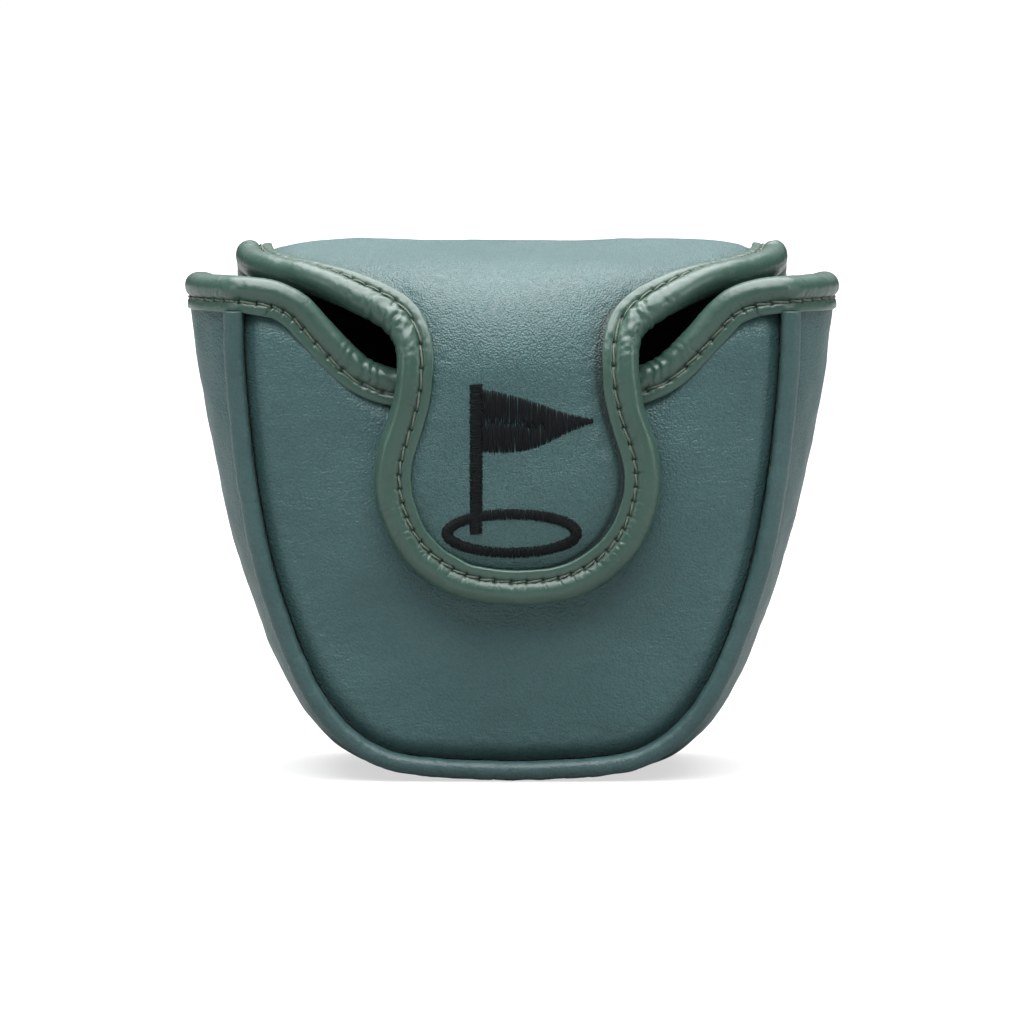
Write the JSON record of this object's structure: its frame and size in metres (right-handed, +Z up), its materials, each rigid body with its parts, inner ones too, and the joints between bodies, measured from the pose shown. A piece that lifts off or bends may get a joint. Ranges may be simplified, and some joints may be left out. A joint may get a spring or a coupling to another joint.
{
  "type": "putter head cover",
  "caption": "Padded leather cover for a mallet putter head, with a bound mouth, side shaft gaps and a fold-over tongue flap held by hidden magnets.",
  "frame": {"origin": "middle of the flat base the cover stands on", "axes": "+Z up out of the mouth, -Y towards the front panel and tongue, +X to the viewer's right when looking at the front"},
  "size_m": [0.1504, 0.0632, 0.1216],
  "materials": {
    "teal_leather": "soft pebble grain, satin",
    "piping_leather": "smooth, satin",
    "binding_leather": "smooth, semi-gloss",
    "lining": "short plush",
    "foam": "open-cell padding",
    "cord": "twisted filler",
    "thread": "waxed thread",
    "dark_thread": "satin stitch embroidery",
    "magnet": "nickel plated"
  },
  "bodies": {
    "pouch": {"front_panel": "teal_leather", "front_foam": "foam", "front_lining": "lining", "front_magnet": "magnet", "front_magnet_patch": "lining", "back_panel": "teal_leather", "back_foam": "foam", "back_lining": "lining", "gusset": "teal_leather", "gusset_foam": "foam", "gusset_lining": "lining", "front_piping": "piping_leather", "front_piping_cord": "cord", "front_seam_thread": "thread", "back_piping": "piping_leather", "back_piping_cord": "cord", "back_seam_thread": "thread", "rim_binding": "binding_leather", "rim_binding_filler": "cord", "rim_stitching": "thread"},
    "flap": {"flap_shell": "teal_leather", "flap_foam": "foam", "flap_lining": "lining", "flap_binding_left": "binding_leather", "flap_binding_right": "binding_leather", "flap_binding_filler_left": "cord", "flap_binding_filler_right": "cord", "flap_stitching": "thread"},
    "tongue": {"tongue_shell": "teal_leather", "tongue_foam": "foam", "tongue_lining": "lining", "tongue_binding": "binding_leather", "tongue_binding_filler": "cord", "tongue_stitching": "thread", "tongue_magnet": "magnet", "tongue_magnet_patch": "lining", "emblem_embroidery": "dark_thread"}
  },
  "joints": [
    {"name": "flap_hinge", "type": "hinge", "parent": "pouch", "child": "flap", "pos_m": [0, 0.0277, 0.108], "axis": [-1, 0, 0], "range_deg": [0, 150]},
    {"name": "tongue_hinge", "type": "hinge", "parent": "flap", "child": "tongue", "pos_m": [0, -0.03192, 0.1042], "axis": [-1, 0, 0], "range_deg": [0, 80], "stiffness_Nm_per_rad": 0.01, "springref_deg": -8.59}
  ]
}
